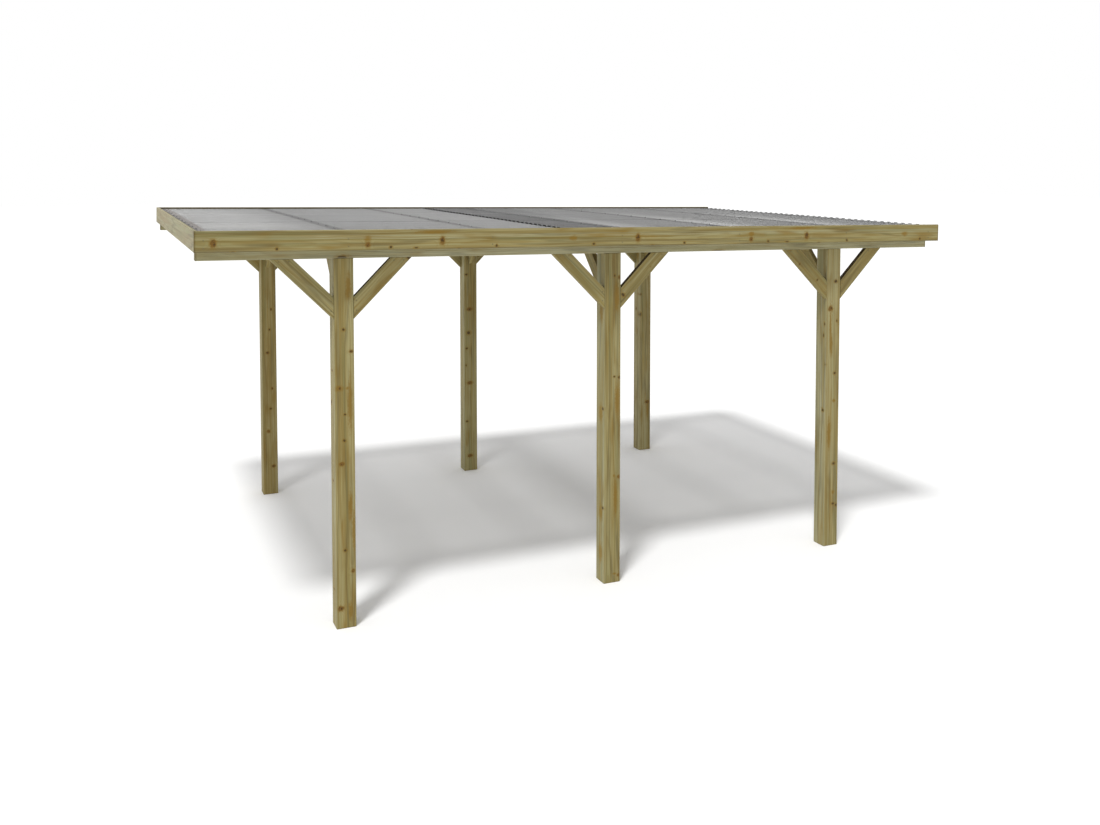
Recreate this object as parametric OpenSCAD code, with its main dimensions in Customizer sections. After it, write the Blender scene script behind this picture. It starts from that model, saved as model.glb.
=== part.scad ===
// Single timber carport with six posts, two beams, seven rafters, diagonal braces,
// boards around three sides of the roof and a covering of ribbed, see-through sheets.
// +X runs down the roof's fall, +Y to the rear row of posts, +Z up from the floor.
// The origin is the centre of the whole carport's outline, at floor level.
// Everything above the posts is drawn in a roof frame, which is turned by the roof's
// fall: its zero is the beams' underside over the middle posts.

/* [Posts] */
// Side of a square post
post_w = 115; // [90:1:145]
// Distance between the centres of neighbouring posts in a row
post_spacing = 1700; // [1350:10:2100]
// Distance between the centre lines of the two rows
row_spacing = 2730; // [2200:10:3300]
// Height of the beams' underside over the middle posts
clear_h = 2104; // [1700:4:2600]

/* [Roof frame] */
// Fall of the roof along its length, in degrees
roof_fall = 0.955; // [0.3:0.005:3]
// How far the beams run past the outer posts
beam_overhang = 743; // [500:1:950]
// Width of a beam
beam_w = 70; // [45:1:90]
// Height of a beam
beam_h = 95; // [80:1:120]
// Width of a rafter
rafter_w = 60; // [40:1:75]
// Height of a rafter
rafter_h = 85; // [75:1:100]
// Height of the rafters' underside above the beams' underside
rafter_seat = 55; // [45:1:65]
// Distance from the low end of the beams to the last rafter
low_end_setback = 60; // [0:1:90]

/* [Boards] */
// Thickness of the roof's edge boards
board_t = 18; // [12:1:28]
// Height of the edge boards
board_h = 115; // [100:1:140]
// Height of the boards' lower edge above the beams' underside
board_drop = 54; // [40:1:60]
// How far the side boards stand out from the posts' outer faces
eaves_out = 126; // [80:1:180]

/* [Braces] */
// Thickness of a brace
brace_t = 35; // [25:1:50]
// Width of a brace, square to its length
brace_w = 90; // [70:1:110]
// Length of a row brace's lower edge along the post and along the beam
brace_leg = 347; // [280:1:420]
// Length of a cross brace's lower edge along the post and along the rafter
cross_leg = 361; // [300:1:430]

/* [Sheets] */
// Thickness of the sheet material
sheet_t = 1; // [0.8:0.1:1.5]
// Distance between neighbouring ribs
rib_pitch = 76; // [65:1:90]
// Full height of a ribbed sheet
rib_h = 18; // [15:0.5:20]
// Width of a rib's flat top, measured underneath
rib_top = 30; // [24:1:36]
// Width of a rib's sloping side
rib_side = 10; // [8:0.5:12]
// Sheets side by side across the roof
sheets_across = 3; // [2:1:4]
// Length that the low sheets lie over the high ones
course_lap = 435; // [200:1:600]
// How far the high sheets run past the middle rafter's centre
high_sheet_past = 74.5; // [40:0.5:120]
// How far the low sheets run past the beams' low end
drip = 8; // [0:1:40]
// Gap between the sheets and the board at the high end
high_end_gap = 5; // [2:1:15]
// Least gap between the sheets and the side boards
side_gap = 3; // [2:1:10]

/* [Hidden] */
// Clearance between two nested sheets, measured square to a rib's side
nest_gap = 0.1;
// How far a side lap's free edge stops short of the rib's corner
lap_edge = 2;

ROWS = ["front", "rear"];
STATIONS = ["high", "mid", "low"];
WAYS = ["uphill", "downhill"];
RAFTERS = ["high_end", "high_post", "high_bay", "mid_post", "low_bay", "low_post", "low_end"];
LANES = [for (i = [0:sheets_across - 1])
    i == 0 ? "front" : (i == sheets_across - 1 ? "rear" : (sheets_across == 3 ? "mid" : str("mid_", i)))];

// The roof frame's own sizes
beam_half = post_spacing + post_w / 2 + beam_overhang;
board_half = row_spacing / 2 + post_w / 2 + eaves_out;
rafter_half = board_half - board_t;
rafter_top = rafter_seat + rafter_h;
beam_outer = row_spacing / 2 + post_w / 2;
beam_inner = beam_outer - beam_w;
post_inner = row_spacing / 2 - post_w / 2;
low_rafter_edge = beam_half - low_end_setback;

// Rafter centres along the roof, from the high end to the low end
RAFTER_U = [
    -beam_half + rafter_w / 2,
    -post_spacing,
    -post_spacing / 2,
    0,
    post_spacing / 2,
    post_spacing,
    low_rafter_edge - rafter_w / 2
];

// Sheet profile: the rise of its underside, the slope of a rib's side and the ribs' number
rib_rise = rib_h - sheet_t;
rib_slope = atan2(rib_rise, rib_side);
corner = sheet_t * tan(rib_slope / 2);
rib_count = floor(2 * (rafter_half - side_gap) / rib_pitch);
edge_valley = min(rib_pitch / 2, rafter_half - side_gap - (rib_count - 1) * rib_pitch / 2);

// Lengths of the two courses, and the lift that nests the low one on the high one
high_start = -beam_half + high_end_gap;
high_end = high_sheet_past;
low_start = high_end - course_lap;
low_end = beam_half + drip;
nest_lift = (sheet_t + nest_gap) / cos(rib_slope);
course_tilt = asin(nest_lift / (low_rafter_edge - high_end));

// The outline's ends along X before it is centred, and the shift that centres it
outline_high = -(beam_half + board_t) * cos(roof_fall) + board_drop * sin(roof_fall);
outline_low = low_end * cos(roof_fall) + (rafter_top + rib_h) * sin(roof_fall);
shift_x = -(outline_high + outline_low) / 2;

// Row 0 is the front one, on the -Y side; station 0 is at the roof's high end.
function row_y(r) = (r == 0 ? -1 : 1) * row_spacing / 2;
function station_x(s) = shift_x + (s - 1) * post_spacing;

// Height of the beams' underside at x.
function underside(x) = clear_h - (x - shift_x) * tan(roof_fall);

// Which rib two neighbouring sheets share: the lap before sheet i.
function lap_rib(i) = round(i * (rib_count - 1) / sheets_across);
function rib_y(k) = (k - (rib_count - 1) / 2) * rib_pitch;

// Draws its children in the roof frame.
module on_roof() {
    translate([shift_x, 0, clear_h]) rotate([0, roof_fall, 0]) children();
}

// Extrudes an outline of x and z by a thickness, centred on y.
module upright(y, thickness) {
    translate([0, y, 0]) rotate([90, 0, 0])
        linear_extrude(height = thickness, center = true) children();
}

// A square post from the floor to the beams' sloping underside.
module post(r, s) {
    x = station_x(s);
    x0 = x - post_w / 2;
    x1 = x + post_w / 2;
    color("darkkhaki") upright(row_y(r), post_w)
        polygon([[x0, 0], [x1, 0], [x1, underside(x1)], [x0, underside(x0)]]);
}

// A beam along one row, flush with the posts' outer faces.
module beam(r) {
    y0 = r == 0 ? -beam_outer : beam_inner;
    color("khaki") on_roof()
        translate([-beam_half, y0, 0]) cube([2 * beam_half, beam_w, beam_h]);
}

// A rafter across the roof, notched over both beams.
module rafter(i) {
    u0 = RAFTER_U[i] - rafter_w / 2;
    color("tan") on_roof() difference() {
        translate([u0, -rafter_half, rafter_seat]) cube([rafter_w, 2 * rafter_half, rafter_h]);
        for (y0 = [-beam_outer, beam_inner])
            translate([u0 - 1, y0, 0]) cube([rafter_w + 2, beam_w, beam_h]);
    }
}

// A board along one side of the roof, over the rafters' ends.
module side_board(r) {
    y0 = r == 0 ? -board_half : rafter_half;
    color("burlywood") on_roof()
        translate([-beam_half - board_t, y0, board_drop]) cube([2 * beam_half + board_t, board_t, board_h]);
}

// The board across the high end, between the side boards.
module end_board() {
    color("burlywood") on_roof()
        translate([-beam_half - board_t, -rafter_half, board_drop]) cube([board_t, 2 * rafter_half, board_h]);
}

// A diagonal brace between a post and its beam, flush with their outer faces.
module row_brace(r, s, w) {
    side = w == 0 ? -1 : 1;
    x0 = station_x(s) + side * post_w / 2;
    lower = brace_leg;
    upper = brace_leg - brace_w / sin(45);
    y = (r == 0 ? -1 : 1) * (beam_outer - brace_t / 2);
    z0 = underside(x0);
    // Distance from the post at which a 45 degree edge meets the sloping beam
    reach_lower = lower / (1 + side * tan(roof_fall));
    reach_upper = upper / (1 + side * tan(roof_fall));
    color("olivedrab") upright(y, brace_t)
        polygon([
            [x0, z0 - lower],
            [x0, z0 - upper],
            [x0 + side * reach_upper, z0 - upper + reach_upper],
            [x0 + side * reach_lower, z0 - lower + reach_lower]
        ]);
}

// A diagonal brace from a post's inner face up to the rafter above it.
module cross_brace(r, s) {
    x = station_x(s);
    seat_z = underside(x) + rafter_seat / cos(roof_fall);
    upper = cross_leg - brace_w / sin(45);
    spare = brace_t;
    color("olive") difference() {
        mirror([0, r == 0 ? 0 : 1, 0])
            translate([x, 0, 0]) rotate([90, 0, 90])
                linear_extrude(height = brace_t, center = true)
                    polygon([
                        [-post_inner, seat_z - cross_leg],
                        [-post_inner, seat_z - upper],
                        [-post_inner + upper + spare, seat_z + spare],
                        [-post_inner + cross_leg + spare, seat_z + spare]
                    ]);
        on_roof() translate([-beam_half, -rafter_half, rafter_seat])
            cube([2 * beam_half, 2 * rafter_half, rafter_h]);
    }
}

// Underside and top of a ribbed sheet from rib a to rib b. A first or last rib that is
// shared with a neighbour keeps only its flat top; an outer one runs down to a valley.
function sheet_under(a, b) = concat(
    a == 0
        ? [[rib_y(0) - edge_valley, 0], [rib_y(0) - rib_top / 2 - rib_side, 0], [rib_y(0) - rib_top / 2, rib_rise]]
        : [[rib_y(a) - rib_top / 2 + lap_edge, rib_rise]],
    [for (k = [a:b - 1]) each [
        [rib_y(k) + rib_top / 2, rib_rise],
        [rib_y(k) + rib_top / 2 + rib_side, 0],
        [rib_y(k + 1) - rib_top / 2 - rib_side, 0],
        [rib_y(k + 1) - rib_top / 2, rib_rise]
    ]],
    b == rib_count - 1
        ? [[rib_y(b) + rib_top / 2, rib_rise], [rib_y(b) + rib_top / 2 + rib_side, 0], [rib_y(b) + edge_valley, 0]]
        : [[rib_y(b) + rib_top / 2 - lap_edge, rib_rise]]
);
function sheet_over(a, b) = concat(
    a == 0
        ? [
            [rib_y(0) - edge_valley, sheet_t],
            [rib_y(0) - rib_top / 2 - rib_side - corner, sheet_t],
            [rib_y(0) - rib_top / 2 - corner, rib_h]
        ]
        : [[rib_y(a) - rib_top / 2 + lap_edge, rib_h]],
    [for (k = [a:b - 1]) each [
        [rib_y(k) + rib_top / 2 + corner, rib_h],
        [rib_y(k) + rib_top / 2 + rib_side + corner, sheet_t],
        [rib_y(k + 1) - rib_top / 2 - rib_side - corner, sheet_t],
        [rib_y(k + 1) - rib_top / 2 - corner, rib_h]
    ]],
    b == rib_count - 1
        ? [
            [rib_y(b) + rib_top / 2 + corner, rib_h],
            [rib_y(b) + rib_top / 2 + rib_side + corner, sheet_t],
            [rib_y(b) + edge_valley, sheet_t]
        ]
        : [[rib_y(b) + rib_top / 2 - lap_edge, rib_h]]
);
function reversed(points) = [for (i = [len(points) - 1:-1:0]) points[i]];

// One ribbed sheet from u0 to u1. Every other sheet across the roof lies a sheet's
// thickness higher, on its neighbours' ribs.
module ribbed_sheet(i, u0, u1) {
    a = lap_rib(i);
    b = lap_rib(i + 1);
    lift = (i % 2) * sheet_t;
    translate([u0, 0, lift]) rotate([90, 0, 90]) linear_extrude(height = u1 - u0)
        polygon(concat(sheet_under(a, b), reversed(sheet_over(a, b))));
}

module high_sheet(i) {
    color([0.62, 0.63, 0.64, 0.6]) on_roof()
        translate([0, 0, rafter_top]) ribbed_sheet(i, high_start, high_end);
}

// The low sheets rest on the last rafter and, at the lap, on the high sheets.
module low_sheet(i) {
    color([0.5, 0.51, 0.52, 0.6]) on_roof()
        translate([low_rafter_edge, 0, rafter_top]) rotate([0, course_tilt, 0])
            ribbed_sheet(i, low_start - low_rafter_edge, low_end - low_rafter_edge);
}

for (r = [0:1]) {
    for (s = [0:2]) {
        post(r, s);
        for (w = [0:1])
            row_brace(r, s, w);
        cross_brace(r, s);
    }
    beam(r);
    side_board(r);
}
end_board();  // board_high_end
for (i = [0:len(RAFTERS) - 1])
    rafter(i);
for (i = [0:sheets_across - 1]) {
    high_sheet(i);
    low_sheet(i);
}
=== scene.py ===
"""Looks of a free-standing timber carport with a roof of ribbed see-through sheets.

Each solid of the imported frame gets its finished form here: planed timbers with rounded arrises and a
grain that runs through the wood, pressed sheets with rounded folds, and the screws and seals that go
with them. Lengths are in metres in the frame's own axes: +X down the roof's fall, +Y to the rear row
of posts, +Z up.
"""

import logging
import math
import random
from dataclasses import dataclass, field, replace
from enum import Enum

import bmesh
import bpy
import numpy as np
from mathutils import Euler, Matrix, Vector
from mathutils.bvhtree import BVHTree


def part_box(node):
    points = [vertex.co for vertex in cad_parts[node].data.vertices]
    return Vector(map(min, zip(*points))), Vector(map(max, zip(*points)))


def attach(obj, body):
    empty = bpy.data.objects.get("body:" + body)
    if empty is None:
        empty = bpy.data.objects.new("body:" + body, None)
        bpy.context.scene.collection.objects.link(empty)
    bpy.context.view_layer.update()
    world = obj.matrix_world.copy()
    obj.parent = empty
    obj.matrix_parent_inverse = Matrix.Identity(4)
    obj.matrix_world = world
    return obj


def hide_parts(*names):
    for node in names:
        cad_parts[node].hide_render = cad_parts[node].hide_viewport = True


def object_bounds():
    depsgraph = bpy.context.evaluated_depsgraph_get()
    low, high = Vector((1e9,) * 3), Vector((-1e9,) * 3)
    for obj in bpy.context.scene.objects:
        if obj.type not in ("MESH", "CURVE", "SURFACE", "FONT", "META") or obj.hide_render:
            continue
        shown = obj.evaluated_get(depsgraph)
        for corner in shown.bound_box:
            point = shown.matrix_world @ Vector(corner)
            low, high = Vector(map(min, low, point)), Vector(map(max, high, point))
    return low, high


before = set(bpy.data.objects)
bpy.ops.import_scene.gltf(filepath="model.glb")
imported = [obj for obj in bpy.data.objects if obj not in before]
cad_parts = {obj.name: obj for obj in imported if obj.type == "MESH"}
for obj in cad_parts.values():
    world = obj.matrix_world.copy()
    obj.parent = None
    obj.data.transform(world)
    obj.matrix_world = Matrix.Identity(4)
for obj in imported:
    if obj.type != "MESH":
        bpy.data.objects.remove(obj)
CAD_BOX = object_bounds()

LOG = logging.getLogger("carport")
BODY = "root"
MERGE = 1e-5
FLAT_ANGLE = math.radians(0.2)
UP = Vector((0.0, 0.0, 1.0))

ROWS = {"front": -1.0, "rear": 1.0}
STATIONS = ("high", "mid", "low")
SIDES = ("uphill", "downhill")
RAFTERS = ("high_end", "high_post", "high_bay", "mid_post", "low_bay", "low_post", "low_end")
SHEET_COLUMNS = ("front", "mid", "rear")

Colour = tuple[float, float, float]
Span = tuple[float, float]
Value = "float | Colour | Wire"

ZERO: Colour = (0.0, 0.0, 0.0)


# ---- Node trees ----


def find_socket(sockets: bpy.types.bpy_prop_collection, key: str) -> bpy.types.NodeSocket:
    """Finds a socket by its identifier, or else by its name.

    Args:
        sockets: A node's inputs or outputs.
        key: The identifier or the name.

    Returns:
        The socket.
    """
    for socket in sockets:
        if socket.identifier == key:
            return socket
    return next(socket for socket in sockets if socket.name == key and socket.enabled)


class Wire:
    """One output of a node. Arithmetic on it adds Math nodes to its tree."""

    def __init__(self, tree: "Tree", socket: bpy.types.NodeSocket) -> None:
        """Keeps the tree and the output that the wire starts from."""
        self.tree = tree
        self.socket = socket

    def also(self, key: str) -> "Wire":
        """Another output of the same node."""
        return Wire(self.tree, find_socket(self.socket.node.outputs, key))

    def __add__(self, other: Value) -> "Wire":
        """Adds."""
        return self.tree.math("ADD", self, other)

    def __radd__(self, other: Value) -> "Wire":
        """Adds, from the right."""
        return self.tree.math("ADD", other, self)

    def __sub__(self, other: Value) -> "Wire":
        """Subtracts."""
        return self.tree.math("SUBTRACT", self, other)

    def __rsub__(self, other: Value) -> "Wire":
        """Subtracts this from a number."""
        return self.tree.math("SUBTRACT", other, self)

    def __mul__(self, other: Value) -> "Wire":
        """Multiplies."""
        return self.tree.math("MULTIPLY", self, other)

    def __rmul__(self, other: Value) -> "Wire":
        """Multiplies, from the right."""
        return self.tree.math("MULTIPLY", other, self)

    def __truediv__(self, other: Value) -> "Wire":
        """Divides."""
        return self.tree.math("DIVIDE", self, other)

    def __rtruediv__(self, other: Value) -> "Wire":
        """Divides a number by this."""
        return self.tree.math("DIVIDE", other, self)


class Tree:
    """Builds the nodes of one material, world or Geometry Nodes group."""

    def __init__(self, nodes: bpy.types.NodeTree) -> None:
        """Empties the tree and keeps it."""
        nodes.nodes.clear()
        self.nodes = nodes

    def add(self, kind: str, values: dict | None = None, out: str | None = None, **settings: object) -> Wire:
        """Adds one node.

        Args:
            kind: The node's type.
            values: A number, colour, material or wire for each socket, by identifier or name. A list
                links several wires to one socket.
            out: The output that is wanted, or None for the first one.
            settings: Its own settings, set before its sockets. "stops" are a ramp's positions and colours.

        Returns:
            The wanted output, or a wire to nothing where the node has no output.
        """
        node = self.nodes.nodes.new(kind)
        for key, setting in settings.items():
            if key == "stops":
                self._set_stops(node.color_ramp, setting)
            else:
                setattr(node, key, setting)
        for key, value in (values or {}).items():
            socket = find_socket(node.inputs, key)
            for item in value if isinstance(value, list) else [value]:
                if isinstance(item, Wire):
                    self.nodes.links.new(item.socket, socket)
                elif socket.type == "RGBA":
                    socket.default_value = (*item[:3], 1.0)
                else:
                    socket.default_value = item
        if out is not None:
            return Wire(self, find_socket(node.outputs, out))
        return Wire(self, node.outputs[0] if len(node.outputs) else None)

    @staticmethod
    def _set_stops(ramp: bpy.types.ColorRamp, stops: list[tuple[float, Colour]]) -> None:
        """Gives a ramp its stops."""
        while len(ramp.elements) < len(stops):
            ramp.elements.new(1.0)
        for element, (position, colour) in zip(ramp.elements, stops, strict=True):
            element.position = position
            element.color = (*colour, 1.0)

    def math(self, operation: str, first: Value, second: Value = 0.0) -> Wire:
        """Adds a Math node."""
        return self.add("ShaderNodeMath", {"Value": first, "Value_001": second}, operation=operation)

    def vector(self, operation: str, first: Value, second: Value = ZERO, out: str = "Vector") -> Wire:
        """Adds a Vector Math node."""
        values = {"Vector": first, "Vector_001": second}
        return self.add("ShaderNodeVectorMath", values, out, operation=operation)

    def length(self, vector: Wire) -> Wire:
        """A vector's length."""
        return self.vector("LENGTH", vector, out="Value")

    def split(self, vector: Wire) -> tuple[Wire, Wire, Wire]:
        """A vector's three parts."""
        first = self.add("ShaderNodeSeparateXYZ", {"Vector": vector}, "X")
        return first, first.also("Y"), first.also("Z")

    def step(self, value: Wire, low: float, high: float) -> Wire:
        """A smooth step from 0 at low to 1 at high. Low may be the larger one."""
        values = {"Value": value, "From Min": low, "From Max": high}
        return self.add("ShaderNodeMapRange", values, interpolation_type="SMOOTHSTEP")

    def mix(self, factor: Value, first: Value, second: Value, mode: str = "MIX") -> Wire:
        """Mixes two colours."""
        values = {"Factor_Float": factor, "A_Color": first, "B_Color": second}
        return self.add("ShaderNodeMix", values, "Result_Color", data_type="RGBA", blend_type=mode)

    def tint(self, colour: Wire, filter_colour: Value) -> Wire:
        """A colour seen through another."""
        return self.mix(1.0, colour, filter_colour, "MULTIPLY")

    def shade(self, colour: Wire, light: Wire) -> Wire:
        """A colour times one number."""
        return self.tint(colour, self.add("ShaderNodeCombineXYZ", {"X": light, "Y": light, "Z": light}))

    def noise(self, place: Wire, stretch: Colour, detail: float = 2.0, out: str = "Fac") -> Wire:
        """Noise on a place that is first stretched by a factor along each axis.

        Args:
            place: The place.
            stretch: The factors.
            detail: How many finer layers it has.
            out: The output that is wanted.

        Returns:
            The noise, or its colour.
        """
        stretched = self.vector("MULTIPLY", place, stretch)
        values = {"Vector": stretched, "Scale": 1.0, "Detail": detail, "Roughness": 0.55}
        return self.add("ShaderNodeTexNoise", values, out)

    def bump(self, height: Wire, strength: float, depth: float) -> Wire:
        """A relief for a shader's Normal."""
        return self.add("ShaderNodeBump", {"Strength": strength, "Distance": depth, "Height": height})

    def stored(self, name: str, out: str = "Vector") -> Wire:
        """A value that is stored on the mesh."""
        return self.add("ShaderNodeAttribute", out=out, attribute_name=name)

    def place(self) -> Wire:
        """The place in the object's own axes, which are the frame's."""
        return self.add("ShaderNodeTexCoord", out="Object")


def new_material(name: str) -> tuple[bpy.types.Material, Tree]:
    """Makes an empty node material.

    Args:
        name: The material's name.

    Returns:
        The material and the builder of its tree.
    """
    material = bpy.data.materials.new(name)
    material.use_nodes = True
    return material, Tree(material.node_tree)


# ---- Finishes ----

# Names of what the timbers store on their points and faces.
GRAIN = "grain_place"
SECTION = "section_place"
END_CUT_OR_SHADE = "end_cut_or_shade"

# The distance of a knot that is not there, in its half sizes.
FAR = 50.0


@dataclass(frozen=True)
class Finish:
    """A material that ends in one Principled shader."""

    name: str

    def build(self) -> bpy.types.Material:
        """Makes the material.

        Returns:
            The material.
        """
        material, tree = new_material(self.name)
        shader = tree.add("ShaderNodeBsdfPrincipled", self.sockets(tree))
        tree.add("ShaderNodeOutputMaterial", {"Surface": shader})
        return material

    def sockets(self, tree: Tree) -> dict:
        """What the shader's sockets are set or linked to, by their names."""
        raise NotImplementedError


class KnotKind(Enum):
    """What is left of a branch on a timber's face."""

    PIN = "a dark pin knot"
    SOUND = "a brown knot in resin-stained wood"
    STAIN = "resin-stained wood only"


# How far a knot and the stained wood round it spread, in the knot's half sizes.
KNOT_SPREAD = 0.95
STAIN_SPREAD = {KnotKind.PIN: 2.2, KnotKind.SOUND: 1.6, KnotKind.STAIN: 1.6}


@dataclass(frozen=True)
class Knot:
    """A knot that is listed: its place in the frame, its half sizes and how deep it goes."""

    place: Vector
    reach: Vector
    kind: KnotKind

    def distance(self, tree: Tree, place: Wire, spread: float) -> Wire:
        """How far a place is from the knot's middle, in the knot's own spread half sizes.

        Args:
            tree: The material's tree.
            place: The place.
            spread: The factor on the half sizes.

        Returns:
            The distance.
        """
        offset = tree.vector("SUBTRACT", place, self.place)
        shares = tuple(1.0 / (spread * reach) for reach in self.reach)
        return tree.length(tree.vector("MULTIPLY", offset, shares))


@dataclass(frozen=True)
class Streak:
    """A stain that follows noise along the grain.

    It starts at one level of the noise and is full at another, and its shade is the name of one of the
    finish's colours.
    """

    stretch: Colour
    detail: float
    start: float
    full: float
    strength: float
    shade: str


SAPWOOD = Streak((0.5, 19.0, 19.0), 2.0, 0.4, 0.62, 1.0, "pale")
STREAKS = (
    Streak((0.8, 30.0, 30.0), 3.0, 0.48, 0.66, 0.6, "green"),
    Streak((3.4, 15.0, 15.0), 2.0, 0.5, 0.7, 0.6, "brown"),
    Streak((3.4, 15.0, 15.0), 2.0, 0.6, 0.78, 0.5, "halo"),
    Streak((1.5, 110.0, 110.0), 3.0, 0.48, 0.62, 0.62, "brown"),
    Streak((2.2, 75.0, 75.0), 2.0, 0.54, 0.68, 0.62, "pale"),
)


@dataclass(frozen=True)
class TimberFinish(Finish):
    """Planed and pressure-treated softwood, drawn as a solid: rings, fibres, stain bands and knots.

    The grain place runs along the timber in X and across it in Y and Z, measured from the tree's heart.
    """

    plain: Colour = (0.24, 0.185, 0.06)
    pale: Colour = (0.3, 0.262, 0.118)
    brown: Colour = (0.188, 0.128, 0.028)
    green: Colour = (0.172, 0.162, 0.058)
    knot: Colour = (0.034, 0.02, 0.002)
    sound: Colour = (0.15, 0.07, 0.006)
    halo: Colour = (0.205, 0.114, 0.007)
    # Tints on the wood: the sawn ends, which drink stain, and the faces with painted roof shade; that painted
    # shade; painted shade on one broad side; painted light on the narrow sides.
    stain_and_shade: Colour = (0.62, 0.58, 0.5)
    roof_shade: Colour = (0.2, 0.16, 0.1)
    inner_shade: Colour = (0.34, 0.33, 0.34)
    side_light_tint: Colour = (1.3, 1.45, 2.0)
    ring: float = 0.0045
    ring_shade: float = 0.34
    knot_radius: float = 0.008
    knots: float = 0.55
    knot_spacing: float = 0.19
    knots_around: float = 0.75
    knot_wander: float = 0.7
    branch_rise: float = 0.25
    branch_oval: float = 0.68
    branch_taper: Span = (-0.02, 0.06)
    branch_sizes: Span = (0.4, 1.1)
    least_branch: float = 0.0004
    marked_edge: Span = (0.97, 0.85)
    push: float = 0.9
    push_edge: Span = (3.6, 0.6)
    ring_wander: float = 0.8
    seam_edge: Span = (0.035, 0.008)
    seam_shade: float = 0.24
    light: Colour = (0.69, 0.3, 0.56)
    stain_edge: Span = (1.2, 0.3)
    sound_edge: Span = (1.25, 0.7)
    eye_edge: Span = (0.9, 0.5)
    core_edge: Span = (1.25, 0.75)
    heart_edge: Span = (0.75, 0.1)
    hard_edge: Span = (1.15, 0.85)
    relief: Colour = (0.35, 0.5, 0.6)
    relief_depth: float = 0.0006
    roughness: float = 0.6
    sheen: Colour = (0.08, 0.12, 0.12)
    arris_edge: Span = (0.8, 0.96)
    side_edge: Span = (0.97, 0.995)
    shaded_side_edge: Span = (0.9, 0.99)
    cut_edge: Span = (0.9955, 0.999)
    roof_shade_edge: Span = (1.2, 1.8)
    # How much paler the long edges are: partly wear, partly a painted highlight.
    worn: float = 0.5
    # How much painted light the narrow sides get.
    side_light: float = 0.0
    # Which broad side gets painted shade, by its sign.
    shaded_side: float = 0.0
    bands: tuple[tuple[float, Colour], ...] = ()
    band_share: float = 0.8
    band_wander: float = 0.2
    # Painted shade along a banded board's foot.
    band_foot_shade: Span = (-0.87, -0.94)
    placed: tuple[Knot, ...] = ()

    def toned(self, red: float, green: float, blue: float) -> "TimberFinish":
        """The same finish on wood that is redder, greener or darker by these factors."""
        shades = {name: getattr(self, name) for name in ("plain", "pale", "brown", "green")}
        return replace(self, **{key: (r * red, g * green, b * blue) for key, (r, g, b) in shades.items()})

    def sockets(self, tree: Tree) -> dict:
        """Draws the wood.

        Args:
            tree: The material's tree.

        Returns:
            What the shader's sockets are set or linked to, by their names.
        """
        grain = tree.stored(GRAIN)
        wander = tree.noise(grain, (70.0, 130.0, 130.0), 1.0) - 0.5
        distance = self._branches(tree, grain) + wander * self.knot_wander
        pin, sound, stain = self._placed_knots(tree, wander)
        core = tree.math("MINIMUM", pin, distance)
        stain = tree.math("MINIMUM", stain, distance / 2.3)
        rings = self._rings(tree, grain, tree.math("MINIMUM", core, sound))
        fibres = tree.noise(grain, (6.0, 520.0, 520.0))
        colour = self._wood(tree, grain, rings, fibres)
        colour = self._knot_colour(tree, colour, grain, core, sound, stain)
        hard = tree.step(core, *self.hard_edge)
        late, fibre, knot = self.relief
        relief = rings * late + fibres * fibre - hard * knot
        late, fibre, knot = self.sheen
        return {
            "Base Color": self._cut_and_arris(tree, colour),
            "Roughness": self.roughness - rings * late + fibres * fibre - hard * knot,
            "Normal": tree.bump(relief, 0.5, self.relief_depth),
            "Specular IOR Level": 0.3,
        }

    def _branches(self, tree: Tree, grain: Wire) -> Wire:
        """Grows branches outwards from the heart, so that each face cuts them as a saw would.

        They stay off the two faces that carry knots with places of their own.

        Args:
            tree: The material's tree.
            grain: The grain place.

        Returns:
            The distance from the nearest branch's middle line in its radii, large where there is none.
        """
        across = tree.vector("MULTIPLY", grain, (0.0, 1.0, 1.0))
        outward = tree.vector("NORMALIZE", across)
        around = tree.vector("MULTIPLY", outward, (0.0, self.knots_around, self.knots_around))
        lengthwise = tree.vector("MULTIPLY", grain, (1.0 / self.knot_spacing, 0.0, 0.0))
        cell = {"Vector": tree.vector("ADD", around, lengthwise), "Scale": 1.0}
        nearest = tree.add("ShaderNodeTexVoronoi", cell, "Position", voronoi_dimensions="3D", feature="F1")
        direction = tree.vector("NORMALIZE", tree.vector("MULTIPLY", nearest, (0.0, 1.0, 1.0)))
        depth = tree.vector("DOT_PRODUCT", across, direction, "Value")
        aside = tree.length(tree.vector("CROSS_PRODUCT", across, direction)) * self.branch_oval
        middle = tree.split(nearest)[0] * self.knot_spacing
        ahead = tree.split(grain)[0] - middle - depth * self.branch_rise
        chance = tree.add("ShaderNodeSeparateColor", {"Color": nearest.also("Color")}, "Red")
        thick = chance.also("Green")
        thin, spread = self.branch_sizes
        radius = self.knot_radius * (thin + spread * thick * thick) * tree.step(depth, *self.branch_taper)
        missing = tree.math("GREATER_THAN", chance, self.knots)
        if self.placed:
            _, broad, narrow = tree.split(tree.stored(SECTION))
            marked = tree.step(tree.math("MAXIMUM", broad, narrow), *self.marked_edge)
            missing = tree.math("MAXIMUM", missing, marked)
        away = tree.math("SQRT", ahead * ahead + aside * aside)
        return away / (radius + self.least_branch) + missing * FAR

    def _placed_knots(self, tree: Tree, wander: Wire) -> tuple[Value, Value, Value]:
        """Sets the knots that have places of their own.

        Args:
            tree: The material's tree.
            wander: Noise that makes their outlines uneven.

        Returns:
            The distance from the nearest pin knot, sound knot and stain, in their half sizes.
        """
        nearest: dict[KnotKind, Value] = dict.fromkeys(KnotKind, FAR)
        place = tree.place() if self.placed else None
        for knot in self.placed:
            for kind, spread in ((knot.kind, KNOT_SPREAD), (KnotKind.STAIN, STAIN_SPREAD[knot.kind])):
                distance = knot.distance(tree, place, spread) + wander * 0.85
                nearest[kind] = tree.math("MINIMUM", nearest[kind], distance)
        return tuple(nearest.values())

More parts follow.
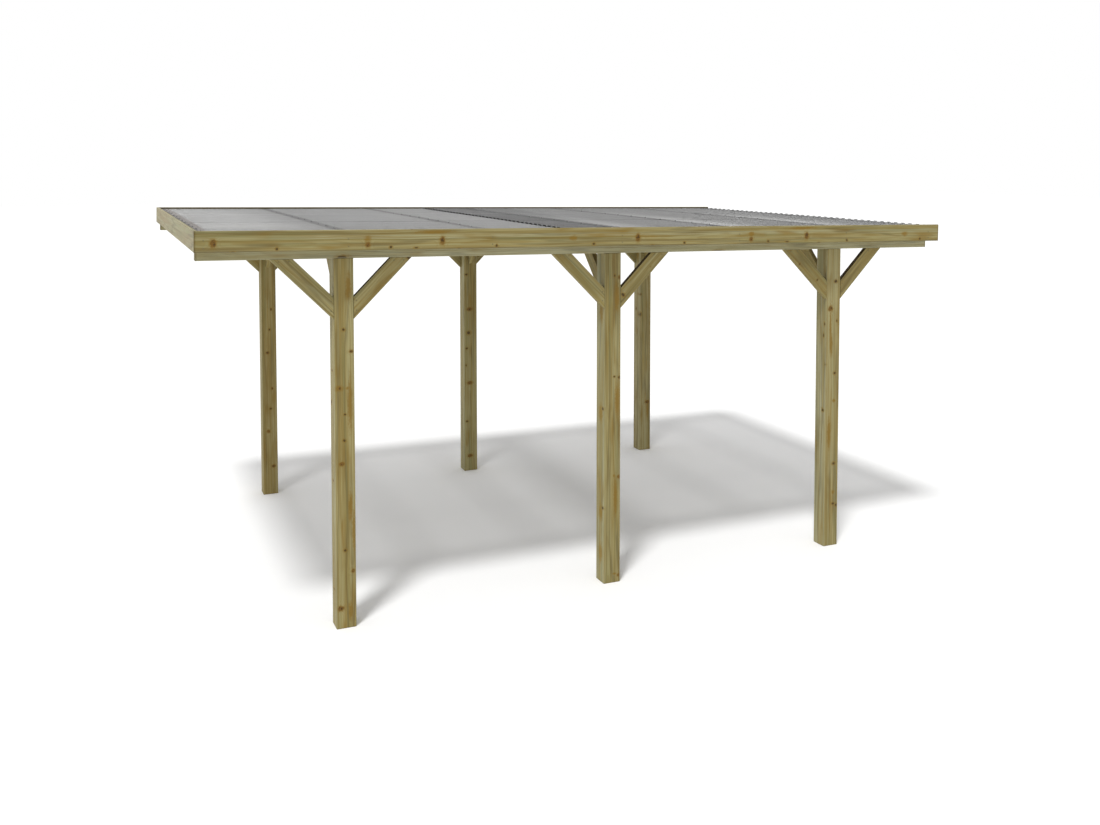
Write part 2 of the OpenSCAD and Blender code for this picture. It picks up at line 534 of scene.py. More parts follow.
    def _rings(self, tree: Tree, grain: Wire, distance: Wire) -> Wire:
        """Draws the year rings round the heart, pushed aside by the knots.

        Args:
            tree: The material's tree.
            grain: The grain place.
            distance: The distance from the nearest knot, in its radii.

        Returns:
            0 in the pale early wood to 1 in the dark late wood.
        """
        wobble = tree.noise(grain, (0.75, 5.0, 5.0), 1.0, "Color")
        wobble = tree.vector("SUBTRACT", wobble, (0.5, 0.5, 0.5))
        wobble = tree.vector("MULTIPLY", wobble, (0.0, 0.05, 0.05))
        moved = tree.vector("ADD", grain, wobble)
        radius = tree.length(tree.vector("MULTIPLY", moved, (0.0, 1.0, 1.0)))
        push = tree.step(distance, *self.push_edge) * (self.knot_radius * self.push)
        years = (radius + push) / self.ring + tree.noise(grain, (2.0, 30.0, 30.0)) * self.ring_wander
        levels = ((0.0, 0.0), (0.45, 0.12), (0.86, 1.0), (0.94, 0.85), (1.0, 0.0))
        stops = [(position, (level,) * 3) for position, level in levels]
        return tree.add("ShaderNodeValToRGB", {"Fac": tree.math("FRACT", years)}, "Color", stops=stops)

    def _wood(self, tree: Tree, grain: Wire, rings: Wire, fibres: Wire) -> Wire:
        """Mixes the sapwood, heartwood and treatment stain.

        Args:
            tree: The material's tree.
            grain: The grain place.
            rings: The late wood, from 0 to 1.
            fibres: Fine noise along the grain.

        Returns:
            The wood's colour without its knots.
        """
        colour = self._streaked(tree, grain, self.plain, SAPWOOD)
        if self.bands:
            height = tree.split(tree.stored(SECTION))[2]
            lifted = height * 0.5 + 0.5 + (tree.noise(grain, (1.6, 10.0, 10.0)) - 0.5) * self.band_wander
            ramp = tree.add("ShaderNodeValToRGB", {"Fac": lifted}, "Color", stops=self.bands)
            colour = tree.mix(self.band_share, colour, ramp)
            # Painted shade along the board's lower edge.
            colour = tree.mix(tree.step(height, *self.band_foot_shade), colour, self.bands[0][1])
        for streak in STREAKS:
            colour = self._streaked(tree, grain, colour, streak)
        colour = tree.mix(rings * self.ring_shade, colour, self.brown)
        seam = tree.math("ABSOLUTE", tree.noise(grain, (0.5, 15.0, 15.0)) - 0.5)
        least, fine, coarse = self.light
        light = least + fine * fibres + coarse * tree.noise(grain, (2.4, 150.0, 150.0))
        return tree.shade(colour, light * (1.0 - tree.step(seam, *self.seam_edge) * self.seam_shade))

    def _streaked(self, tree: Tree, grain: Wire, colour: Value, streak: Streak) -> Wire:
        """A colour with one kind of streak over it."""
        cover = tree.step(tree.noise(grain, streak.stretch, streak.detail), streak.start, streak.full)
        return tree.mix(cover * streak.strength, colour, getattr(self, streak.shade))

    def _knot_colour(
        self, tree: Tree, colour: Wire, grain: Wire, core: Wire, sound: Value, stain: Value,
    ) -> Wire:
        """Colours the knots and the resin-stained wood round them.

        Args:
            tree: The material's tree.
            colour: The wood's colour.
            grain: The grain place.
            core: The distance from the nearest pin knot, in its half sizes.
            sound: The distance from the nearest sound knot, in its half sizes.
            stain: The distance from the nearest stain, in its half sizes.

        Returns:
            The wood's colour with its knots.
        """
        stained = tree.mix(tree.step(stain, *self.stain_edge) * 0.8, colour, self.halo)
        inner = tree.noise(grain, (420.0,) * 3, 1.0)
        if self.placed:
            stained = tree.mix(tree.step(sound, *self.sound_edge) * 0.85, stained, self.sound)
            eye = tree.step(tree.noise(grain, (60.0, 110.0, 110.0), 1.0), 0.44, 0.6)
            stained = tree.mix(eye * tree.step(sound, *self.eye_edge) * 0.8, stained, self.knot)
        heart = tree.mix(tree.step(core, *self.heart_edge) * inner * 0.5, self.knot, self.sound)
        return tree.mix(tree.step(core, *self.core_edge) * 0.9, stained, heart)

    def _cut_and_arris(self, tree: Tree, colour: Wire) -> Wire:
        """Darkens the sawn ends, which drink more stain, and pales the long edges, partly from wear and
        partly as a painted highlight. It also paints light on the narrow sides, shade on one broad side, and
        the roof's shade on the faces under it.

        Args:
            tree: The material's tree.
            colour: The wood's colour.

        Returns:
            The colour with all of these.
        """
        section = tree.stored(SECTION)
        end, broad, narrow = tree.split(tree.vector("ABSOLUTE", section))
        edge = tree.step(tree.math("MINIMUM", broad, narrow), *self.arris_edge)
        # The long edges are paler, partly from wear and partly as a painted highlight.
        colour = tree.mix(edge * self.worn, colour, self.pale)
        # Painted light on the narrow sides.
        if self.side_light:
            side = tree.step(narrow, *self.side_edge) * self.side_light
            colour = tree.mix(side, colour, tree.tint(colour, self.side_light_tint))
        # Painted shade on one broad side.
        if self.shaded_side:
            side = tree.step(tree.split(section)[1] * self.shaded_side, *self.shaded_side_edge)
            colour = tree.mix(side, colour, tree.tint(colour, self.inner_shade))
        # Sawn ends are darker from stain; faces under the roof get painted shade on top of that.
        end_or_shade = tree.math("MAXIMUM", tree.stored(END_CUT_OR_SHADE, "Fac"), tree.step(end, *self.cut_edge))
        stain_and_shade = tree.mix(end_or_shade, colour, tree.tint(colour, self.stain_and_shade))
        return tree.mix(tree.step(end_or_shade, *self.roof_shade_edge), stain_and_shade, tree.tint(colour, self.roof_shade))


@dataclass(frozen=True)
class SheetFinish(Finish):
    """Smoke-grey plastic sheet that light passes through, with a film of dust washed down the fall.

    It gets painted shade where a rafter or a second layer lies under it, over the lower course, in a slanting
    band past the lap, along the eaves and in the gap by the end board, and painted light over the first bay
    and past the lower side of each rafter, where the ground shows through. Places along the roof are given
    from its two ends, from the lap or from a rafter's middle line.
    """

    rafters: tuple[float, ...]
    lap: Span
    ends: Span
    clean: Colour = (0.318, 0.318, 0.315)
    dusty: Colour = (0.375, 0.375, 0.369)
    filler: Colour = (0.215, 0.195, 0.18)
    # Painted shadow in the gap between the sheets and the end board.
    gap_shadow: Colour = (0.045, 0.04, 0.034)
    dust_levels: Span = (0.38, 0.68)
    roughness: float = 0.28
    dust_roughness: float = 0.14
    alpha: float = 0.53
    silted_alpha: float = 0.97
    glow: float = 1.0
    glow_depth: float = 0.0016
    filler_edge: Span = (0.075, 0.06)
    gap_shadow_edge: Span = (0.024, 0.014)
    silt_edge: Span = (0.16, 0.05)
    # Factors of painted light and shade on the sheet: shade over the rafters, in the lap, over the lower
    # course, in a slanting band past the lap and along the eaves; light over the first bay and in glints past
    # each rafter.
    rafter_half: float = 0.03
    rafter_edge: Span = (0.006, -0.004)
    soft_edge: Span = (0.03, -0.01)
    on_rafter: float = 0.6
    lap_edge: float = 0.004
    painted_lap_shade: float = 0.46
    painted_low_course_shade: float = 0.76
    painted_first_bay_light: float = 1.34
    first_bay_ends: Span = (0.3, 0.1)
    glint_edge: Span = (0.02, 0.05)
    glint_reach: float = 0.42
    lap_glint_reach: float = 0.3
    glint_sides: Span = (1.2, -1.1)
    painted_glint: float = 0.68
    slant: float = 0.12
    slant_from: float = 1.45
    slant_edge: float = 0.05
    slant_shade: float = 0.24
    eaves_edge: Span = (0.17, 0.11)
    eaves_shade: float = 0.42

    def sockets(self, tree: Tree) -> dict:
        """Draws the sheet.

        Args:
            tree: The material's tree.

        Returns:
            What the shader's sockets are set or linked to, by their names.
        """
        place = tree.place()
        along, across, _ = tree.split(place)
        top, eaves = self.ends
        dust = tree.noise(place, (0.45, 3.0, 1.0)) * 0.4 + tree.noise(place, (0.7, 0.6, 1.0)) * 0.6
        dust = tree.step(dust, *self.dust_levels)
        colour = tree.shade(tree.mix(dust, self.clean, self.dusty), self._layers(tree, along, across))
        filled = self._past(tree, along, top, self.filler_edge)
        colour = tree.mix(filled, colour, self.filler)
        # Painted shadow in the gap by the end board.
        colour = tree.mix(self._past(tree, along, top, self.gap_shadow_edge), colour, self.gap_shadow)
        silted = tree.math("MAXIMUM", tree.step(along, *(eaves - edge for edge in self.silt_edge)), filled)
        return {
            "Base Color": colour, "Roughness": self.roughness + self.dust_roughness * dust,
            "Specular IOR Level": 0.4,
            "Alpha": self.alpha + silted * (self.silted_alpha - self.alpha),
            "Subsurface Weight": self.glow, "Subsurface Scale": self.glow_depth,
            "Subsurface Radius": (1.0, 1.0, 1.0),
        }

    @staticmethod
    def _past(tree: Tree, along: Wire, line: float, edge: Span) -> Wire:
        """A smooth step between two distances past a line, from 0 at the first to 1 at the second."""
        return tree.step(along, line + edge[0], line + edge[1])

    def _layers(self, tree: Tree, along: Wire, across: Wire) -> Wire:
        """The sheet's painted light and shade, from what lies under it and round it.

        Args:
            tree: The material's tree.
            along: The place down the fall.
            across: The place across the fall.

        Returns:
            A factor on the sheet's colour.
        """
        nearest: Value = 9.0
        after: Value = 0.0
        # Each rafter's middle line, for the painted shade over it and the painted glints past its lower side,
        # where the ground shows through.
        for rafter in self.rafters:
            past = along - rafter
            nearest = tree.math("MINIMUM", nearest, tree.math("ABSOLUTE", past))
            streak = tree.step(past, *self.glint_edge) * tree.step(past, self.glint_reach, self.glint_edge[1])
            after = tree.math("MAXIMUM", after, streak)
        # Painted shade over each rafter, softer on the lower course.
        over = self._past(tree, nearest, self.rafter_half, self.rafter_edge)
        soft = self._past(tree, nearest, self.rafter_half, self.soft_edge)
        first, last = self.lap
        # Painted glints past the lap as well.
        lap_glint = self._past(tree, along, last, (0.0, self.glint_edge[0]))
        lap_glint = lap_glint * self._past(tree, along, last, (self.lap_glint_reach, 0.0))
        after = tree.math("MAXIMUM", after, lap_glint)
        # Painted shade where the two courses lap.
        doubled = self._past(tree, along, first, (-self.lap_edge, 0.0))
        doubled = doubled * self._past(tree, along, last, (self.lap_edge, 0.0))
        lower = self._past(tree, along, last, (-self.lap_edge, self.lap_edge))
        past_first, past_second = self.first_bay_ends
        upper = tree.step(along, self.rafters[1] + past_second, self.rafters[0] + past_first)
        # The painted glints fade across the roof and show on the lower course only.
        swept = after * lower * tree.step(across, *self.glint_sides)
        over = over + (tree.math("MAXIMUM", over, soft) - over) * lower
        # Painted light over the first bay and painted shade over the lower course.
        light = 1.0 + upper * (self.painted_first_bay_light - 1.0) - lower * (1.0 - self.painted_low_course_shade)
        light = (light + swept * self.painted_glint) * (1.0 - doubled * (1.0 - self.painted_lap_shade))
        # Painted shade in a slanting band past the lap, fading towards the front.
        slant = along - last - (across + self.slant_from) * self.slant
        shaded = tree.step(slant, self.slant_edge, -self.slant_edge) * lower
        light = light * (1.0 - shaded * self.slant_shade)
        light = light * (1.0 - over * (1.0 - self.on_rafter))
        # Painted shade along the eaves.
        eaves = tree.step(along, *(self.ends[1] - edge for edge in self.eaves_edge))
        return light * (1.0 - eaves * self.eaves_shade)


@dataclass(frozen=True)
class CoatedFinish(Finish):
    """Painted or coated metal: the olive coat of outdoor wood screws, or grey caps on roof screws."""

    coat: Colour
    worn: Colour

    def sockets(self, tree: Tree) -> dict:
        """Draws the coat.

        Args:
            tree: The material's tree.

        Returns:
            What the shader's sockets are set or linked to, by their names.
        """
        wear = tree.noise(tree.place(), (260.0,) * 3)
        colour = tree.mix(tree.step(wear, 0.45, 0.75), self.coat, self.worn)
        return {"Base Color": colour, "Roughness": 0.42 + 0.2 * wear, "Metallic": 0.25}


@dataclass(frozen=True)
class FoamFinish(Finish):
    """Black cellular rubber, as in sealing cord, profile fillers and screw washers."""

    dark: Colour = (0.014, 0.014, 0.014)
    light: Colour = (0.035, 0.035, 0.036)

    def sockets(self, tree: Tree) -> dict:
        """Draws the foam.

        Args:
            tree: The material's tree.

        Returns:
            What the shader's sockets are set or linked to, by their names.
        """
        cells = tree.noise(tree.place(), (900.0,) * 3)
        colour = tree.mix(cells, self.dark, self.light)
        relief = tree.bump(cells, 0.4, 0.0003)
        return {"Base Color": colour, "Roughness": 0.85 + 0.1 * cells, "Normal": relief}


# ---- Solids of the frame ----


def merged_copy(node: str) -> bmesh.types.BMesh:
    """A CAD node's mesh with its loose triangles merged into whole faces.

    Args:
        node: The node's name.

    Returns:
        The mesh, which the caller frees.
    """
    mesh = bmesh.new()
    mesh.from_mesh(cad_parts[node].data)
    bmesh.ops.remove_doubles(mesh, verts=mesh.verts, dist=MERGE)
    bmesh.ops.dissolve_limit(mesh, angle_limit=FLAT_ANGLE, verts=mesh.verts, edges=mesh.edges)
    mesh.normal_update()
    return mesh


def facing_up(direction: Vector) -> Vector:
    """The direction or its opposite, whichever has its largest component positive."""
    largest = max(direction, key=abs)
    return direction.normalized() if largest > 0 else -direction.normalized()


@dataclass(frozen=True)
class Lie:
    """How a straight piece lies: its middle, its own axes and half its size along each of them."""

    middle: Vector
    along: Vector
    broad: Vector
    narrow: Vector
    half: Vector

    @classmethod
    def of(cls, mesh: bmesh.types.BMesh) -> "Lie":
        """Reads the lie from a merged mesh.

        Args:
            mesh: The merged mesh.

        Returns:
            The lie. Along follows the longest edge, and broad is the normal of the largest face.
        """
        longest = max(mesh.edges, key=lambda edge: round(edge.calc_length(), 4))
        along = facing_up(longest.verts[1].co - longest.verts[0].co)
        side_faces = [face for face in mesh.faces if abs(face.normal.dot(along)) < 0.1]
        largest = max(side_faces, key=lambda face: (round(face.calc_area(), 3), abs(face.normal.y)))
        broad = facing_up(largest.normal)
        narrow = facing_up(along.cross(broad))
        axes = Matrix((along, broad, narrow))
        places = np.array([axes @ vert.co for vert in mesh.verts])
        low, high = places.min(0), places.max(0)
        middle = axes.transposed() @ Vector((low + high) / 2)
        return cls(middle, along, broad, narrow, Vector((high - low) / 2))

    @property
    def axes(self) -> Matrix:
        """The matrix that turns a frame direction into one on the piece's own axes."""
        return Matrix((self.along, self.broad, self.narrow))

    def point(self, along: float, broad: float, narrow: float) -> Vector:
        """A point of the frame from its place on the piece's own axes."""
        return self.middle + self.along * along + self.broad * broad + self.narrow * narrow


def finish_piece(piece: bpy.types.Object, slot: str | None, *nodes: str) -> bpy.types.Object:
    """Makes a finished piece ride on the frame.

    Args:
        piece: The piece, whose place is in its mesh.
        slot: The record's material slot, or None; it is not used.
        nodes: The CAD nodes that it stands for.

    Returns:
        The same piece.
    """
    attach(piece, BODY)
    if nodes:
        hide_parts(*nodes)
    LOG.info("%s: %d faces", piece.name, len(piece.data.polygons))
    return piece


def new_object(name: str, data: bpy.types.ID) -> bpy.types.Object:
    """Puts new data in the scene.

    Args:
        name: The object's name.
        data: A mesh or a curve.

    Returns:
        The object, at the origin.
    """
    made = bpy.data.objects.new(name, data)
    bpy.context.scene.collection.objects.link(made)
    return made


def smooth_between(piece: bpy.types.Object, sharp: float) -> None:
    """Shades a piece smoothly over its rounded edges and flat over its faces.

    Args:
        piece: A mesh object.
        sharp: The angle in degrees past which an edge stays sharp.
    """
    piece.data.shade_smooth()
    piece.data.set_sharp_from_angle(angle=math.radians(sharp))
    normals = piece.modifiers.new("face_weighted_normals", "WEIGHTED_NORMAL")
    normals.keep_sharp = True
    normals.weight = 100


# The least angle in radians at which an outer edge is rounded, how far up or down a trunk timbers lie, and
# how far behind a timber's broad face the heart of its tree is.
CONVEX = 0.2
TRUNK = 40.0
BEHIND = (0.05, 0.11)


def store(mesh: bpy.types.Mesh, name: str, values: np.ndarray) -> None:
    """Stores a vector on each point of a mesh."""
    layer = mesh.attributes.new(name, "FLOAT_VECTOR", "POINT")
    layer.data.foreach_set("vector", values.astype(np.float32).ravel())


def convex_edges(mesh: bmesh.types.BMesh) -> list[bmesh.types.BMEdge]:
    """The edges of a closed mesh that stand out."""
    return [edge for edge in mesh.edges if edge.is_manifold and edge.calc_face_angle_signed() > CONVEX]


def bevel(mesh: bmesh.types.BMesh, edges: list[bmesh.types.BMEdge], width: float, steps: int) -> None:
    """Bevels some edges of a mesh."""
    bmesh.ops.bevel(
        mesh, geom=edges, offset=width, offset_type="OFFSET", segments=steps, profile=0.5, affect="EDGES",
        clamp_overlap=True,
    )


class Log(Enum):
    """Where the tree's heart lies in a timber, which sets the pattern on its faces."""

    BOXED = "inside the timber"
    BEHIND = "behind the broad face"


class Face(Enum):
    """A long face: which of the timber's own axes it faces along, which way, and how deep its knots go."""

    BROAD = (1, -1.0, 0.03)
    NARROW = (2, -1.0, 0.008)


@dataclass(frozen=True)
class Mark:
    """A knot on a timber's face: its place along and across from the middle, and its half sizes."""

    along: float
    across: float
    half_across: float
    half_along: float
    kind: KnotKind
    face: Face = Face.BROAD

    def on(self, lie: Lie) -> Knot:
        """Puts the mark on a timber.

        Args:
            lie: How the timber lies.

        Returns:
            The knot in the frame's own axes.
        """
        index, side, depth = self.face.value
        place = Vector((self.along, self.across, self.across))
        reach = Vector((self.half_along, self.half_across, self.half_across))
        place[index] = side * lie.half[index]
        reach[index] = depth
        spread = lie.axes.transposed() @ reach
        return Knot(lie.point(*place), Vector([abs(value) for value in spread]), self.kind)


@dataclass
class Timber:
    """One sawn and planed timber."""

    node: str
    slot: str
    finish: TimberFinish
    arris: float
    log: Log = Log.BOXED
    marks: tuple[Mark, ...] = ()
    # The way that faces with painted shade from the roof face, or None.
    shaded_way: Vector | None = None
    saw_edge: float = 0.0008
    arc_steps: int = 3
    lie: Lie = field(init=False)

    def build(self) -> bpy.types.Object:
        """Builds the rounded timber with its grain place, and makes it stand for its node.

        Returns:
            The finished piece.
        """
        mesh = merged_copy(self.node)
        self.lie = Lie.of(mesh)
        self._round(mesh)
        data = bpy.data.meshes.new(f"planed_{self.node}")
        mesh.to_mesh(data)
        mesh.free()
        self._lay_grain(data)
        data.materials.append(self._material())
        piece = new_object(data.name, data)
        smooth_between(piece, 40.0)
        return finish_piece(piece, self.slot, self.node)

    def _material(self) -> bpy.types.Material:
        """The finish, shared by all timbers that have no marks of their own.

        Returns:
            The material.
        """
        finish = self.finish
        if self.marks:
            placed = tuple(mark.on(self.lie) for mark in self.marks)
            finish = replace(finish, name=f"{finish.name}_{self.node}", placed=placed)
        return bpy.data.materials.get(finish.name) or finish.build()

    def _round(self, mesh: bmesh.types.BMesh) -> None:
        """Rounds the long edges, and takes the sharpness off the sawn ones.

        Args:
            mesh: The merged mesh.
        """
        lengthwise = [edge for edge in convex_edges(mesh) if self._runs_along(edge)]
        bevel(mesh, lengthwise, self.arris, self.arc_steps)
        rims = [edge for edge in convex_edges(mesh) if any(self._is_end(face) for face in edge.link_faces)]
        bevel(mesh, rims, self.saw_edge, 1)

    def _runs_along(self, edge: bmesh.types.BMEdge) -> bool:
        """Whether an edge follows the timber's length."""
        direction = (edge.verts[1].co - edge.verts[0].co).normalized()
        return abs(direction.dot(self.lie.along)) > 0.99

    def _is_end(self, face: bmesh.types.BMFace | bpy.types.MeshPolygon) -> bool:
        """Whether a face is a sawn end."""
        return abs(face.normal.dot(self.lie.along)) > 0.5

    def _lay_grain(self, data: bpy.types.Mesh) -> None:
        """Stores where each point lies in the tree, where it lies in the section, the sawn ends and the faces
        that get painted shade from the roof.

        Args:
            data: The finished mesh.
        """
        places = np.empty(len(data.vertices) * 3)
        data.vertices.foreach_get("co", places)
        own = (places.reshape(-1, 3) - np.array(self.lie.middle)) @ np.array(self.lie.axes.transposed())
        store(data, GRAIN, own + np.array(self._heart()))
        store(data, SECTION, own / np.array(self.lie.half))
        stain_and_shade = np.array([self._end_or_roof_shade(face) for face in data.polygons], np.float32)
        data.attributes.new(END_CUT_OR_SHADE, "FLOAT", "FACE").data.foreach_set("value", stain_and_shade)

    def _heart(self) -> Colour:
        """Draws where in its tree the timber was sawn: its place up the trunk, and off the heart.

        Returns:
            What to add to a place in the timber to get its grain place.
        """
        draw = random.Random(self.node)
        half = self.lie.half
        up = draw.uniform(-TRUNK, TRUNK)
        if self.log is Log.BOXED:
            return up, draw.uniform(-0.5, 0.5) * half.y, draw.uniform(-0.5, 0.5) * half.z
        return up, draw.choice((-1, 1)) * draw.uniform(*BEHIND), draw.uniform(-0.35, 0.35) * half.z

    def _end_or_roof_shade(self, face: bpy.types.MeshPolygon) -> float:
        """How dark a face is: 1 on the sawn ends, from stain, 2 on faces that get painted shade from the
        roof.
        """
        if self._is_end(face):
            return 1.0
        return 2.0 if self.shaded_way is not None and face.normal.dot(self.shaded_way) > 0.9 else 0.0


# ---- Timber frame ----


PIN, SOUND, STAIN = KnotKind.PIN, KnotKind.SOUND, KnotKind.STAIN
MM = 0.001

# Knots on the posts: height above the foot, place across the face, half width, half height, kind.
POST_MARKS = {
    "front_high": {
        Face.BROAD: (
            (1727, -4, 7, 7, PIN), (1600, 40, 11, 9, SOUND), (1392, -34, 22, 14, STAIN),
            (1392, -28, 8, 9, SOUND), (1390, 18, 8, 8, STAIN), (1240, 1, 6, 5, PIN), (1091, -4, 7, 7, PIN),
            (957, -20, 15, 12, SOUND), (454, -5, 7, 7, PIN), (329, 40, 11, 11, SOUND),
            (119, -33, 20, 14, SOUND), (1975, 26, 13, 60, STAIN), (1290, 30, 10, 110, STAIN),
            (700, 28, 10, 70, STAIN), (560, 48, 9, 90, STAIN), (95, 24, 10, 45, STAIN),
        ),
        Face.NARROW: (
            (1487, 3, 14, 5, PIN), (1300, 28, 9, 11, PIN), (850, 1, 12, 5, PIN), (216, 3, 13, 5, PIN),
        ),
    },
    "front_mid": {
        Face.BROAD: (
            (1950, 47, 10, 12, SOUND), (1962, 13, 5, 7, PIN), (1315, 47, 10, 9, SOUND),
            (1322, 13, 6, 5, PIN), (679, 45, 11, 11, SOUND), (687, 13, 6, 8, STAIN), (44, 45, 10, 9, SOUND),
            (56, 17, 11, 5, STAIN), (1830, 30, 14, 70, STAIN), (1170, 34, 14, 90, STAIN),
            (560, 22, 10, 100, STAIN),
        ),
        Face.NARROW: (
            (1119, -37, 13, 8, PIN), (484, -37, 13, 8, PIN), (1740, -12, 22, 60, STAIN),
            (1085, -6, 22, 45, STAIN), (450, -10, 22, 45, STAIN), (190, -8, 20, 50, STAIN),
        ),
    },
    "front_low": {
        Face.BROAD: (
            (1850, 18, 10, 9, PIN), (1662, -24, 18, 18, SOUND), (1530, -23, 6, 110, STAIN),
            (1420, -16, 10, 60, STAIN), (1212, 18, 9, 8, PIN), (1019, 14, 11, 9, STAIN),
            (577, 18, 10, 8, PIN), (294, 18, 10, 7, PIN), (281, 45, 9, 8, PIN), (1575, 31, 5, 9, PIN),
            (375, 16, 11, 12, STAIN), (790, -26, 12, 80, STAIN),
        ),
        Face.NARROW: (
            (1556, -39, 6, 11, PIN), (1475, -29, 5, 12, PIN), (1275, -50, 5, 7, PIN),
            (954, -29, 11, 9, PIN),
        ),
    },
    "rear_high": {
        Face.BROAD: (
            (1494, 18, 7, 11, SOUND), (1331, 4, 6, 8, PIN), (1147, -13, 13, 11, SOUND),
            (856, 20, 8, 11, SOUND), (694, 7, 9, 7, PIN), (512, -13, 13, 12, SOUND),
            (225, 24, 15, 12, SOUND),
        ),
        Face.NARROW: (),
    },
    "rear_mid": {
        Face.BROAD: (
            (1704, -37, 10, 7, PIN), (1404, -8, 24, 14, SOUND), (1200, -18, 15, 12, PIN),
            (1065, -35, 9, 7, PIN), (919, -42, 5, 8, PIN), (765, -8, 24, 14, SOUND), (431, -35, 9, 7, PIN),
            (129, -8, 22, 14, SOUND),
        ),
        Face.NARROW: (),
    },
    "rear_low": {
        Face.BROAD: (
            (1450, -50, 7, 8, PIN), (1265, -50, 10, 14, PIN), (446, 25, 22, 16, SOUND),
            (370, 26, 9, 70, STAIN),
        ),
        Face.NARROW: ((1310, 10, 8, 11, PIN),),
    },
}

# How the wood of some posts differs from that of the rest, in red, green and blue.
POST_TONES = {
    "front_mid": (0.96, 0.97, 0.98), "front_low": (1.01, 1.02, 1.09), "rear_high": (0.95, 0.91, 0.86),
    "rear_low": (1.07, 1.1, 1.26),
}

# Knots on the front board, which come round again with each year's growth: the first one's place along
# from the board's middle, how often it returns, place across the face, half width, half length, kind.
BOARD_MARKS = (
    (-2412, 1265, -9, 24, 15, SOUND), (-2081, 1265, -43, 7, 7, PIN), (-1450, 1265, -42, 7, 7, PIN),
    (-2311, 1265, -56, 4, 10, PIN), (-1582, 2530, -27, 16, 13, SOUND), (-1582, 2530, 6, 14, 15, STAIN),
    (-1302, 2530, -47, 4, 11, PIN), (-322, 2530, -5, 13, 19, STAIN), (-1190, 2530, 42, 9, 90, STAIN),
)


def post_marks(name: str, length: float) -> tuple[Mark, ...]:
    """The marks of one post.

    Args:
        name: The post's row and station.
        length: The post's length.

    Returns:
        The marks, measured from the post's middle.
    """
    return tuple(
        Mark(height * MM - length / 2, across * MM, wide * MM, high * MM, kind, face)
        for face, rows in POST_MARKS[name].items()
        for height, across, wide, high, kind in rows
    )


def board_marks(length: float) -> tuple[Mark, ...]:
    """The marks of the front board.

    Args:
        length: The board's length.

    Returns:
        The marks, measured from the board's middle.
    """
    marks = []
    for first, every, across, wide, long, kind in BOARD_MARKS:
        count = int((length / 2 / MM - first) // every) + 1
        places = [first + every * index for index in range(count)]
        marks += [Mark(place * MM, across * MM, wide * MM, long * MM, kind) for place in places]
    return tuple(marks)


